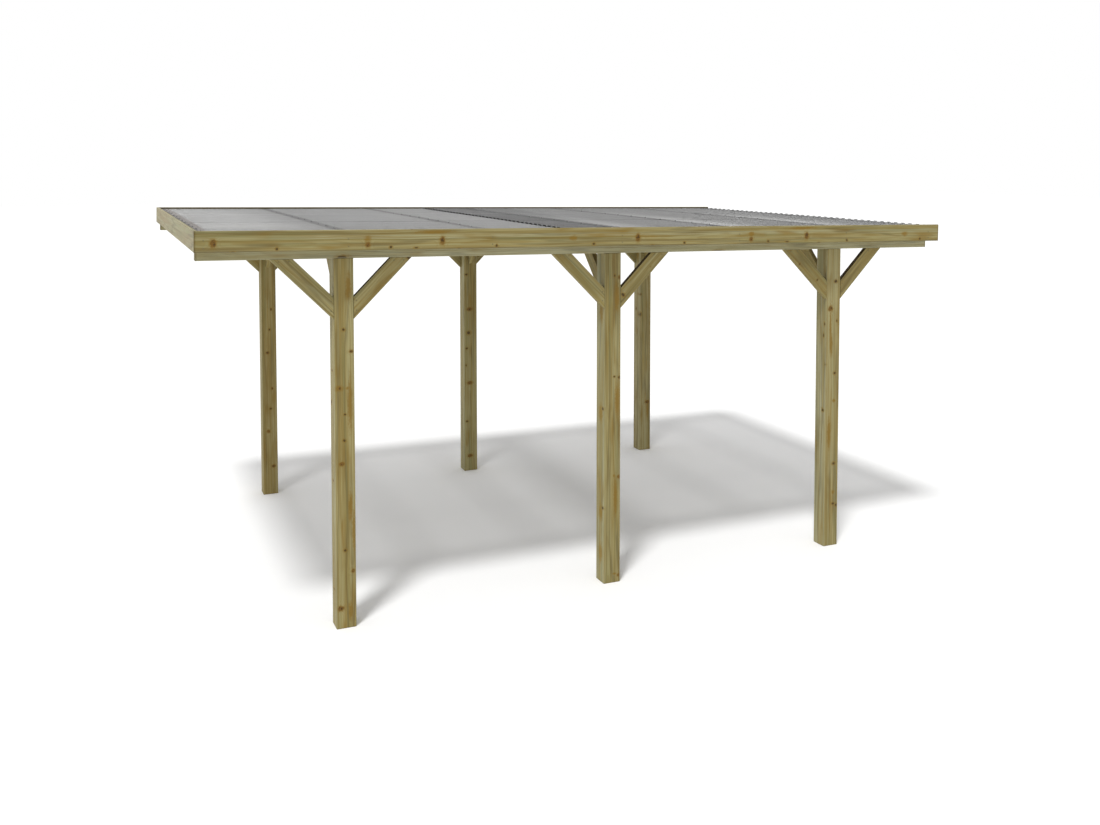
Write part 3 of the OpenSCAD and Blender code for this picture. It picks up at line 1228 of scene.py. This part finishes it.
@dataclass
class TimberFrame:
    """Posts, beams, rafters, braces and edge boards."""

    post_arris: float = 0.006
    beam_arris: float = 0.004
    rafter_arris: float = 0.003
    board_arris: float = 0.0025
    brace_arris: float = 0.003
    timbers: dict[str, Timber] = field(default_factory=dict)
    pieces: dict[str, bpy.types.Object] = field(default_factory=dict)

    def _add(self, timber: Timber) -> None:
        """Builds one timber and keeps it."""
        self.pieces[timber.node] = timber.build()
        self.timbers[timber.node] = timber

    def build(self) -> None:
        """Builds every timber."""
        self.build_posts()
        self.build_beams()
        self.build_rafters()
        self.build_braces()
        self.build_boards()

    def build_posts(self) -> None:
        """Builds the six posts."""
        for row in ROWS:
            for station in STATIONS:
                name = f"{row}_{station}"
                # All posts but one get painted light on their narrow sides.
                side_lit = 0.0 if name == "rear_low" else 0.75
                finish = TimberFinish("planed_post_timber", knots=0.3, side_light=side_lit)
                finish = finish.toned(*POST_TONES.get(name, (1.0, 1.0, 1.0)))
                foot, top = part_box(f"post_{name}")
                marks = post_marks(name, top.z - foot.z)
                self._add(Timber(f"post_{name}", "post_timber", finish, self.post_arris, Log.BOXED, marks))

    def build_beams(self) -> None:
        """Builds the beam on each row of posts."""
        finish = TimberFinish(
            "planed_beam_timber", plain=(0.307, 0.275, 0.139), pale=(0.366, 0.345, 0.208),
            brown=(0.248, 0.202, 0.089), green=(0.258, 0.248, 0.133), knots=0.25,
        )
        # Two dark marks on the beam's lower edge, one beside the top of the front high post, drawn as pin
        # knots.
        marks = (Mark(-1.708, -0.041, 0.009, 0.027, PIN), Mark(0.768, -0.046, 0.006, 0.03, PIN))
        self._add(Timber("beam_front", "beam_timber", finish, self.beam_arris, Log.BEHIND, marks))
        self._add(Timber("beam_rear", "beam_timber", finish, self.beam_arris, Log.BEHIND))

    def build_rafters(self) -> None:
        """Builds the rafters that lie across the beams."""
        finish = TimberFinish("planed_rafter_timber")
        for place in RAFTERS:
            self._add(Timber(f"rafter_{place}", "rafter_timber", finish, self.rafter_arris, Log.BEHIND))

    def build_braces(self) -> None:
        """Builds the braces in the rows, and those across the carport."""
        finish = TimberFinish("planed_brace_timber", knots=0.6, knot_radius=0.0075)
        names = [f"brace_{row}_{station}_{side}" for row in ROWS for station in STATIONS for side in SIDES]
        names += [f"cross_brace_{row}_{station}" for row in ROWS for station in STATIONS]
        for name in names:
            timber = Timber(name, "brace_timber", finish, self.brace_arris, Log.BEHIND)
            # The upper faces of the downhill braces get painted shade from the roof.
            if name.endswith("downhill"):
                timber.shaded_way = Vector((-1.0, 0.0, 1.0)).normalized()
            self._add(timber)

    def build_boards(self) -> None:
        """Builds the boards that edge the roof on three sides."""
        # The darkest band, at the board's foot, is painted shade along its lower edge.
        tan, pale, brown = (0.264, 0.226, 0.094), (0.296, 0.284, 0.16), (0.206, 0.16, 0.05)
        streak, low, top = (0.17, 0.142, 0.045), (0.1, 0.078, 0.031), (0.286, 0.251, 0.129)
        bands = (
            (0.0, low), (0.045, low), (0.08, tan), (0.46, tan), (0.49, streak), (0.52, streak), (0.56, pale),
            (0.73, pale), (0.77, brown), (0.89, brown), (0.94, top), (1.0, top),
        )
        finish = TimberFinish("planed_board_timber", bands=bands, knots=0.45, knot_radius=0.007, worn=0.2)
        front = replace(finish, name="planed_board_timber_front", knots=0.3)
        low_end, high_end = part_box("board_front")
        marks = board_marks(high_end.x - low_end.x)
        self._add(Timber("board_front", "board_timber", front, self.board_arris, Log.BEHIND, marks))
        # The rear board's inner face gets painted shade.
        rear = replace(finish, name="planed_board_timber_rear", shaded_side=-1.0)
        self._add(Timber("board_rear", "board_timber", rear, self.board_arris, Log.BEHIND))
        high = TimberFinish(
            "planed_board_timber_high_end", plain=(0.285, 0.248, 0.14), pale=(0.324, 0.314, 0.19),
            brown=(0.262, 0.208, 0.116), green=(0.247, 0.252, 0.134), halo=(0.28, 0.2, 0.09),
            knots=0.3, worn=0.3,
        )
        self._add(Timber("board_high_end", "board_timber", high, self.board_arris, Log.BEHIND))


# ---- Geometry Nodes ----

FACING = "facing"

# The kind of socket that an input with such a default needs.
SOCKET_KINDS = {
    float: "NodeSocketFloat", int: "NodeSocketInt", Vector: "NodeSocketVector", Euler: "NodeSocketRotation",
}


class ShapeTree(Tree):
    """A Geometry Nodes group that turns a base shape into a finished one."""

    def __init__(self, name: str, inputs: dict[str, float | int | Vector | Euler]) -> None:
        """Makes the group with its named inputs.

        Args:
            name: The group's name.
            inputs: Each input's default, by its name.
        """
        self.group = bpy.data.node_groups.new(name, "GeometryNodeTree")
        super().__init__(self.group)
        sockets = self.group.interface
        for way in ("INPUT", "OUTPUT"):
            sockets.new_socket("Geometry", in_out=way, socket_type="NodeSocketGeometry")
        for label, default in inputs.items():
            socket = sockets.new_socket(label, in_out="INPUT", socket_type=SOCKET_KINDS[type(default)])
            socket.default_value = default
        sockets.new_socket("Finish", in_out="INPUT", socket_type="NodeSocketMaterial")
        self.start = self.add("NodeGroupInput", out="Geometry")

    def value(self, label: str) -> Wire:
        """The wire of a named input."""
        return self.start.also(label)

    def filleted(self, steps: str, radius: str) -> Wire:
        """The base curve with its corners rounded, by the names of two inputs."""
        values = {"Curve": self.start, "Count": self.value(steps), "Radius": self.value(radius)}
        return self.add("GeometryNodeFilletCurve", {**values, "Limit Radius": True}, mode="POLY")

    def filled(self, curve: Wire, mode: str) -> Wire:
        """A flat face, or several, inside a curve."""
        return self.add("GeometryNodeFillCurve", {"Curve": curve}, mode=mode)

    def drawn_out(self, face: Wire, length: str) -> Wire:
        """The walls and the far end of a flat face drawn out along Z, by the name of an input."""
        values = {"Mesh": face, "Offset": tuple(UP), "Offset Scale": self.value(length), "Individual": False}
        return self.add("GeometryNodeExtrudeMesh", values, mode="FACES")

    def lifted(self, shape: Wire, height: Wire) -> Wire:
        """A shape moved along Z."""
        offset = self.add("ShaderNodeCombineXYZ", {"Z": height})
        return self.add("GeometryNodeTransform", {"Geometry": shape, "Translation": offset})

    def close(self, shape: Wire) -> None:
        """Realizes the shape, gives it its material and makes it the group's result.

        Args:
            shape: The shape.
        """
        real = self.add("GeometryNodeRealizeInstances", {"Geometry": shape})
        dressed = self.add("GeometryNodeSetMaterial", {"Geometry": real, "Material": self.value("Finish")})
        self.add("NodeGroupOutput", {"Geometry": dressed})

    def scatter(self, instance: Wire) -> None:
        """Sets an instance on each point of the base, its Z along the point's facing, and closes the group.

        Args:
            instance: The shape to set. How far it is turned about its Z comes from the input "Seed".
        """
        facing = self.add(
            "GeometryNodeInputNamedAttribute", {"Name": FACING}, "Attribute", data_type="FLOAT_VECTOR"
        )
        upright = self.add("FunctionNodeAlignRotationToVector", {"Vector": facing}, axis="Z")
        span = {"Min_001": 0.0, "Max_001": math.tau, "Seed": self.value("Seed")}
        turn = self.add("FunctionNodeRandomValue", span, "Value_001", data_type="FLOAT")
        spin = self.add("FunctionNodeAxisAngleToRotation", {"Axis": tuple(UP), "Angle": turn})
        rotations = {"Rotation": upright, "Rotate By": spin}
        turned = self.add("FunctionNodeRotateRotation", rotations, rotation_space="LOCAL")
        points = self.add("GeometryNodeMeshToPoints", {"Mesh": self.start})
        values = {"Points": points, "Instance": instance, "Rotation": turned}
        self.close(self.add("GeometryNodeInstanceOnPoints", values))

    def make(self, name: str, base: bpy.types.ID, values: dict[str, object]) -> bpy.types.Object:
        """Runs the group on a base shape.

        Args:
            name: The finished object's name.
            base: The mesh or curve that the group starts from.
            values: The inputs that differ from their defaults, by name.

        Returns:
            A plain mesh object.
        """
        holder = new_object(f"{name}_base", base)
        modifier = holder.modifiers.new("shape", "NODES")
        modifier.node_group = self.group
        for item in self.group.interface.items_tree:
            if item.in_out == "INPUT" and item.name in values:
                modifier[item.identifier] = values[item.name]
        graph = bpy.context.evaluated_depsgraph_get()
        mesh = bpy.data.meshes.new_from_object(holder.evaluated_get(graph), depsgraph=graph)
        holder.modifiers.remove(modifier)
        bpy.data.objects.remove(holder)
        mesh.name = name
        return new_object(name, mesh)


def pressed_sheet_tree() -> ShapeTree:
    """The group that rounds the folds of a sheet's outline and draws it out to the sheet's length.

    Returns:
        The group.
    """
    shape = ShapeTree("pressed_sheet", {
        "Fold Radius": 0.003, "Fold Steps": 3, "Length": 1.0, "Turn": Euler(), "Place": Vector(),
    })
    flat = shape.filled(shape.filleted("Fold Steps", "Fold Radius"), "NGONS")
    drawn = shape.drawn_out(flat, "Length")
    bottom = shape.add("GeometryNodeFlipFaces", {"Mesh": flat})
    closed = shape.add("GeometryNodeJoinGeometry", {"Geometry": [drawn, bottom]})
    merged = shape.add("GeometryNodeMergeByDistance", {"Geometry": closed, "Distance": MERGE})
    lie = {"Geometry": merged, "Rotation": shape.value("Turn"), "Translation": shape.value("Place")}
    shape.close(shape.add("GeometryNodeTransform", lie))
    return shape


def swept_bead_tree() -> ShapeTree:
    """The group that lays a round bead along a path.

    Returns:
        The group.
    """
    shape = ShapeTree("swept_bead", {
        "Bend Radius": 0.003, "Bend Steps": 2, "Bead Radius": 0.005, "Bead Sides": 8,
    })
    path = shape.filleted("Bend Steps", "Bend Radius")
    ring = {"Resolution": shape.value("Bead Sides"), "Radius": shape.value("Bead Radius")}
    ring = shape.add("GeometryNodeCurvePrimitiveCircle", ring)
    swept = {"Curve": path, "Profile Curve": ring, "Fill Caps": True}
    shape.close(shape.add("GeometryNodeCurveToMesh", swept))
    return shape


def turned_disc_tree() -> ShapeTree:
    """The group that sets a tapered disc on each point: a washer, its seal or a six-sided head.

    Returns:
        The group.
    """
    shape = ShapeTree("turned_discs", {
        "Sides": 14, "Foot Radius": 0.007, "Top Radius": 0.006, "Height": 0.002, "Lift": 0.0, "Seed": 3,
    })
    sizes = {
        "Vertices": shape.value("Sides"), "Radius Top": shape.value("Top Radius"),
        "Radius Bottom": shape.value("Foot Radius"), "Depth": shape.value("Height"),
    }
    disc = shape.add("GeometryNodeMeshCone", sizes, "Mesh", fill_type="NGON")
    shape.scatter(shape.lifted(disc, shape.value("Lift")))
    return shape


def countersunk_head_tree() -> ShapeTree:
    """The group that sets a flat screw head with a star-shaped drive on each point.

    Returns:
        The group.
    """
    shape = ShapeTree("countersunk_heads", {
        "Head Sides": 16, "Head Radius": 0.004, "Head Depth": 0.0012, "Proud": 0.0004,
        "Drive Points": 6, "Drive Radius": 0.002, "Drive Waist": 0.72, "Drive Floor": 0.0002, "Seed": 5,
    })
    rim = {"Resolution": shape.value("Head Sides"), "Radius": shape.value("Head Radius")}
    rim = shape.add("GeometryNodeCurvePrimitiveCircle", rim)
    outer = shape.value("Drive Radius")
    drive = {
        "Points": shape.value("Drive Points"), "Inner Radius": outer * shape.value("Drive Waist"),
        "Outer Radius": outer,
    }
    drive = shape.add("GeometryNodeCurveStar", drive, "Curve")
    outlines = shape.add("GeometryNodeJoinGeometry", {"Geometry": [rim, drive]})
    walls = shape.drawn_out(shape.filled(outlines, "TRIANGLES"), "Head Depth")
    floor = shape.lifted(shape.filled(drive, "NGONS"), shape.value("Drive Floor"))
    head = shape.add("GeometryNodeJoinGeometry", {"Geometry": [walls, floor]})
    shape.scatter(shape.lifted(head, shape.value("Proud") - shape.value("Head Depth")))
    return shape


@dataclass(frozen=True)
class Seat:
    """A point that a fastener sits on, and the way that the surface faces there."""

    point: Vector
    facing: Vector


def seat_mesh(name: str, seats: list[Seat]) -> bpy.types.Mesh:
    """The points that a Geometry Nodes group sets its fasteners on.

    Args:
        name: The mesh's name.
        seats: The seats.

    Returns:
        A mesh of loose points with their facing.
    """
    mesh = bpy.data.meshes.new(name)
    mesh.from_pydata([seat.point for seat in seats], [], [])
    store(mesh, FACING, np.array([seat.facing for seat in seats]))
    return mesh


class Surface:
    """The outer faces of some pieces, as a surface that fasteners are driven into."""

    def __init__(self, *pieces: bpy.types.Object) -> None:
        """Gathers the pieces' faces.

        Args:
            pieces: Mesh objects at the origin.
        """
        points: list[Vector] = []
        faces: list[list[int]] = []
        for piece in pieces:
            first = len(points)
            points += [vertex.co.copy() for vertex in piece.data.vertices]
            faces += [[first + index for index in face.vertices] for face in piece.data.polygons]
        self.tree = BVHTree.FromPolygons(points, faces)

    def seats(self, starts: list[Vector], direction: Vector) -> list[Seat]:
        """Where fasteners driven from some points in one direction sit, without those that miss."""
        hits = [self.tree.ray_cast(start, direction) for start in starts]
        return [Seat(point, normal) for point, normal, _, _ in hits if point is not None]


# ---- Roof ----


def rafter_lines() -> list[float]:
    """The place down the fall of each rafter's middle line."""
    return [(low.x + high.x) / 2 for low, high in (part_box(f"rafter_{place}") for place in RAFTERS)]


@dataclass
class RoofSheet:
    """One ribbed sheet, read from its node as an outline and a length."""

    node: str
    outline: list[Vector] = field(init=False)
    origin: Vector = field(init=False)
    axes: Matrix = field(init=False)
    length: float = field(init=False)
    least_crest: float = 0.01

    def __post_init__(self) -> None:
        """Reads the outline of the sheet's upper end."""
        mesh = merged_copy(self.node)
        lie = Lie.of(mesh)
        end = min(mesh.faces, key=lambda face: face.normal.dot(lie.along))
        corners = [vert.co.copy() for vert in end.verts]
        across = Vector((0.0, 1.0, 0.0))
        self.axes = Matrix((across, lie.along.cross(across), lie.along))
        self.origin = corners[0]
        self.outline = [self.axes @ (corner - self.origin) for corner in corners]
        self.length = lie.half.x * 2
        mesh.free()

    def world(self, across: float, height: float, along: float = 0.0) -> Vector:
        """A point of the frame from its place on the outline and along the sheet."""
        return self.origin + self.axes.transposed() @ Vector((across, height, along))

    def crests(self) -> list[float]:
        """The place across the frame of the middle of each rib's top.

        Returns:
            The places, in the order of the outline.
        """
        top = max(corner.y for corner in self.outline)
        pairs = zip(self.outline, self.outline[1:] + self.outline[:1], strict=True)
        return [
            self.world((first.x + second.x) / 2, top).y
            for first, second in pairs
            if min(first.y, second.y) > top - MERGE and abs(first.x - second.x) > self.least_crest
        ]

    def top_line(self) -> list[Vector]:
        """The upper side of the outline, from one edge of the sheet to the other.

        Returns:
            Its corners.
        """
        count = len(self.outline)
        left = min(range(count), key=lambda i: (round(self.outline[i].x, 4), -self.outline[i].y))
        right = max(range(count), key=lambda i: (round(self.outline[i].x, 4), self.outline[i].y))
        one_way = [self.outline[(left + i) % count] for i in range((right - left) % count + 1)]
        other_way = [self.outline[(left - i) % count] for i in range((left - right) % count + 1)]
        return max((one_way, other_way), key=lambda line: sum(corner.y for corner in line) / len(line))


def outline_curve(name: str, points: list[Vector], closed: bool) -> bpy.types.Curve:
    """A curve of straight stretches.

    Args:
        name: The curve's name.
        points: Its corners.
        closed: Whether it runs back to its start.

    Returns:
        The curve.
    """
    curve = bpy.data.curves.new(name, "CURVE")
    curve.dimensions = "3D"
    line = curve.splines.new("POLY")
    line.points.add(len(points) - 1)
    for spot, point in zip(line.points, points, strict=True):
        spot.co = (*point, 1.0)
    line.use_cyclic_u = closed
    return curve


@dataclass(frozen=True)
class Disc:
    """A turned part of a roof screw: its sides, its radii, its height and its lift off the sheet."""

    sides: int
    foot: float
    top: float
    height: float
    lift: float


@dataclass
class Roof:
    """The sheets, the seal where the courses lap, the fillers at the eaves and the roof screws."""

    fold_radius: float = 0.003
    fold_smooth: float = 40.0
    bead_smooth: float = 60.0
    lap_seal_radius: float = 0.0046
    lap_seal_sink: float = 0.4
    eaves_seal_radius: float = 0.0022
    eaves_seal_sink: float = 0.5
    screw_step: int = 3
    least_rib: float = 0.02
    drive_height: float = 1.0
    screw_seal: Disc = Disc(14, 0.0068, 0.0068, 0.0014, 0.0)
    screw_washer: Disc = Disc(14, 0.0078, 0.006, 0.0014, 0.0012)
    screw_head: Disc = Disc(6, 0.0046, 0.0044, 0.003, 0.0024)
    sheets: dict[str, RoofSheet] = field(default_factory=dict)
    pieces: list[bpy.types.Object] = field(default_factory=list)

    def build(self) -> None:
        """Builds the whole roof."""
        self.build_sheets()
        foam = FoamFinish("black_foam_rubber").build()
        self.build_seals(foam)
        self.build_screws(foam)

    def build_sheets(self) -> None:
        """Builds the two courses of sheets."""
        upper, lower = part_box("sheet_high_mid"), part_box("sheet_low_mid")
        lap, ends = (lower[0].x, upper[1].x), (upper[0].x, lower[1].x)
        finish = SheetFinish("smoke_grey_sheet", tuple(rafter_lines()), lap, ends).build()
        tree = pressed_sheet_tree()
        for node in [f"sheet_{course}_{column}" for course in ("high", "low") for column in SHEET_COLUMNS]:
            sheet = RoofSheet(node)
            outline = [Vector((corner.x, corner.y, 0.0)) for corner in sheet.outline]
            values = {
                "Fold Radius": self.fold_radius, "Length": sheet.length, "Finish": finish,
                "Turn": sheet.axes.transposed().to_euler(), "Place": sheet.origin,
            }
            piece = tree.make(f"pressed_{node}", outline_curve(node, outline, True), values)
            smooth_between(piece, self.fold_smooth)
            self.sheets[node] = sheet
            self.pieces.append(finish_piece(piece, "roof_sheet", node))

    def build_seals(self, foam: bpy.types.Material) -> None:
        """Lays a sealing cord over ribs and valleys where the courses lap, and one along the eaves.

        Args:
            foam: The sealing cord's material.
        """
        tree = swept_bead_tree()
        lap, eaves = self.lap_seal_radius, self.eaves_seal_radius
        for column in SHEET_COLUMNS:
            sheet = self.sheets[f"sheet_low_{column}"]
            for name, radius, along, sink in (
                ("lap_seal", lap, -lap, self.lap_seal_sink),
                ("eaves_seal", eaves, sheet.length - eaves, self.eaves_seal_sink),
            ):
                path = [sheet.world(corner.x, corner.y + radius * sink, along) for corner in sheet.top_line()]
                values = {"Bead Radius": radius, "Finish": foam}
                piece = tree.make(f"{name}_{column}", outline_curve("seal_path", path, False), values)
                smooth_between(piece, self.bead_smooth)
                finish_piece(piece, None)

    def build_screws(self, foam: bpy.types.Material) -> None:
        """Drives a screw with a washer through every third rib at each rafter.

        Args:
            foam: The material of the seals under the washers.
        """
        crests = sorted({round(crest, 3) for sheet in self.sheets.values() for crest in sheet.crests()})
        pairs = zip([-math.inf, *crests], crests)
        ribs = [crest for before, crest in pairs if crest - before > self.least_rib]
        height = CAD_BOX[1][2] + self.drive_height
        starts = [Vector((line, rib, height)) for line in rafter_lines() for rib in ribs[1::self.screw_step]]
        seats = Surface(*self.pieces).seats(starts, -UP)
        grey = CoatedFinish("grey_screw_coat", (0.22, 0.22, 0.22), (0.3, 0.3, 0.3)).build()
        tree = turned_disc_tree()
        for name, disc, slot, finish in (
            ("roof_screw_seals", self.screw_seal, None, foam),
            ("roof_screw_washers", self.screw_washer, "fixing", grey),
            ("roof_screw_heads", self.screw_head, "fixing", grey),
        ):
            values = {
                "Sides": disc.sides, "Foot Radius": disc.foot, "Top Radius": disc.top, "Height": disc.height,
                "Lift": disc.lift, "Finish": finish,
            }
            finish_piece(tree.make(name, seat_mesh(name, seats), values), slot)


# ---- Screws in the timbers ----


@dataclass
class TimberScrews:
    """Countersunk screws through the edge boards and the ends of the braces."""

    timbers: TimberFrame
    reach: float = 0.3
    heights: Span = (0.26, 0.74)
    end_board_screws: int = 6
    brace_places: tuple[Span, ...] = ((0.02, 0.045), (-0.02, 0.085))

    def build(self) -> None:
        """Sets all the screws."""
        seats = self.row_board_seats() + self.end_board_seats() + self.brace_seats()
        coat = CoatedFinish("olive_screw_coat", (0.13, 0.108, 0.045), (0.21, 0.18, 0.1)).build()
        base = seat_mesh("timber_seats", seats)
        finish_piece(countersunk_head_tree().make("timber_screws", base, {"Finish": coat}), "fixing")

    def _levels(self, low: Vector, high: Vector) -> list[float]:
        """The heights of a pair of screws in a rafter that fills a box."""
        return [low.z + (high.z - low.z) * share for share in self.heights]

    def row_board_seats(self) -> list[Seat]:
        """Two screws into the end of each rafter, through the front and the rear board.

        Returns:
            The seats.
        """
        seats = []
        for row, side in ROWS.items():
            starts = []
            for rafter, line in zip(RAFTERS, rafter_lines(), strict=True):
                low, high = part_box(f"rafter_{rafter}")
                outside = side * (high.y + self.reach)
                starts += [Vector((line, outside, level)) for level in self._levels(low, high)]
            surface = Surface(self.timbers.pieces[f"board_{row}"])
            seats += surface.seats(starts, Vector((0.0, -side, 0.0)))
        return seats

    def end_board_seats(self) -> list[Seat]:
        """Pairs of screws through the end board into the first rafter.

        Returns:
            The seats.
        """
        low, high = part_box("rafter_high_end")
        pitch = (high.y - low.y) / self.end_board_screws
        starts = [
            Vector((low.x - self.reach, low.y + pitch * (index + 0.5), level))
            for index in range(self.end_board_screws)
            for level in self._levels(low, high)
        ]
        return Surface(self.timbers.pieces["board_high_end"]).seats(starts, Vector((1.0, 0.0, 0.0)))

    def brace_seats(self) -> list[Seat]:
        """Two screws near each end of every brace, on its outer face.

        Returns:
            The seats.
        """
        seats = []
        for name, timber in self.timbers.timbers.items():
            if "brace" not in name:
                continue
            lie = timber.lie
            outward = -1.0 if "cross" in name or "front" in name else 1.0
            inner = 1.0 if self._long_side(timber) > 0 else -1.0
            for end in (-1.0, 1.0):
                for across, inset in self.brace_places:
                    point = lie.point(end * (lie.half.x - inset), outward * lie.half.y, inner * across)
                    seats.append(Seat(point, lie.broad * outward))
        return seats

    def _long_side(self, timber: Timber) -> float:
        """Finds the side of a brace, across its broad face, that its longest edge lies on.

        Args:
            timber: The brace.

        Returns:
            Its sign tells the side.
        """
        points = [vertex.co for vertex in self.timbers.pieces[timber.node].data.vertices]
        far = max(points, key=lambda point: abs((point - timber.lie.middle).dot(timber.lie.along)))
        return (far - timber.lie.middle).dot(timber.lie.narrow)


# ---- Studio ----


@dataclass
class Studio:
    """A pale floor, soft light from the upper left and a camera at standing distance."""

    stand: Colour = (-3.045, -7.516, 2.693)
    turn: float = math.radians(-23.258)
    tip: float = math.radians(-2.918)
    lens: float = 35.63
    shift: float = -0.18
    sun_path: Colour = (0.335, 0.37, -1.0)
    sun_strength: float = 1.97
    sun_angle: float = math.radians(9.0)
    sky_strength: float = 0.6
    floor_half: float = 60.0
    floor_white: float = 0.985

    def build(self) -> None:
        """Builds the camera, the lights and the floor."""
        self.build_camera()
        self.build_lights()
        self.build_floor()

    def build_camera(self) -> None:
        """Sets the camera."""
        data = bpy.data.cameras.new("camera")
        data.lens = self.lens
        data.shift_y = self.shift
        camera = new_object("camera", data)
        camera.location = self.stand
        camera.rotation_euler = (math.pi / 2 + self.tip, 0.0, self.turn)
        bpy.context.scene.camera = camera

    def build_lights(self) -> None:
        """Sets the sun and the sky."""
        data = bpy.data.lights.new("key_light", "SUN")
        data.energy = self.sun_strength
        data.angle = self.sun_angle
        lamp = new_object("key_light", data)
        lamp.rotation_euler = Vector(self.sun_path).to_track_quat("-Z", "Y").to_euler()
        world = bpy.data.worlds.new("sky")
        world.use_nodes = True
        bpy.context.scene.world = world
        tree = Tree(world.node_tree)
        seen = rays = tree.add("ShaderNodeLightPath", out="Is Camera Ray")
        for kind in ("Is Glossy Ray", "Is Transmission Ray"):
            seen = tree.math("MAXIMUM", seen, rays.also(kind))
        strength = self.sky_strength + seen * (1.0 - self.sky_strength)
        sky = tree.add("ShaderNodeBackground", {"Color": (1.0, 1.0, 1.0), "Strength": strength})
        tree.add("ShaderNodeOutputWorld", {"Surface": sky})

    def build_floor(self) -> None:
        """Lays the floor."""
        half = self.floor_half
        mesh = bpy.data.meshes.new("studio_floor")
        corners = [(-half, -half, 0.0), (half, -half, 0.0), (half, half, 0.0), (-half, half, 0.0)]
        mesh.from_pydata(corners, [], [(0, 1, 2, 3)])
        material, tree = new_material("pale_floor")
        shader = tree.add("ShaderNodeBsdfDiffuse", {"Color": (self.floor_white,) * 3})
        tree.add("ShaderNodeOutputMaterial", {"Surface": shader})
        mesh.materials.append(material)
        new_object("studio_floor", mesh)


def main() -> None:
    """Builds the studio and every piece of the carport."""
    logging.basicConfig(level=logging.INFO, format="%(name)s %(message)s")
    bpy.context.scene.view_settings.view_transform = "Standard"
    Studio().build()
    timber_frame = TimberFrame()
    timber_frame.build()
    Roof().build()
    TimberScrews(timber_frame).build()


if __name__ == "__main__":
    main()
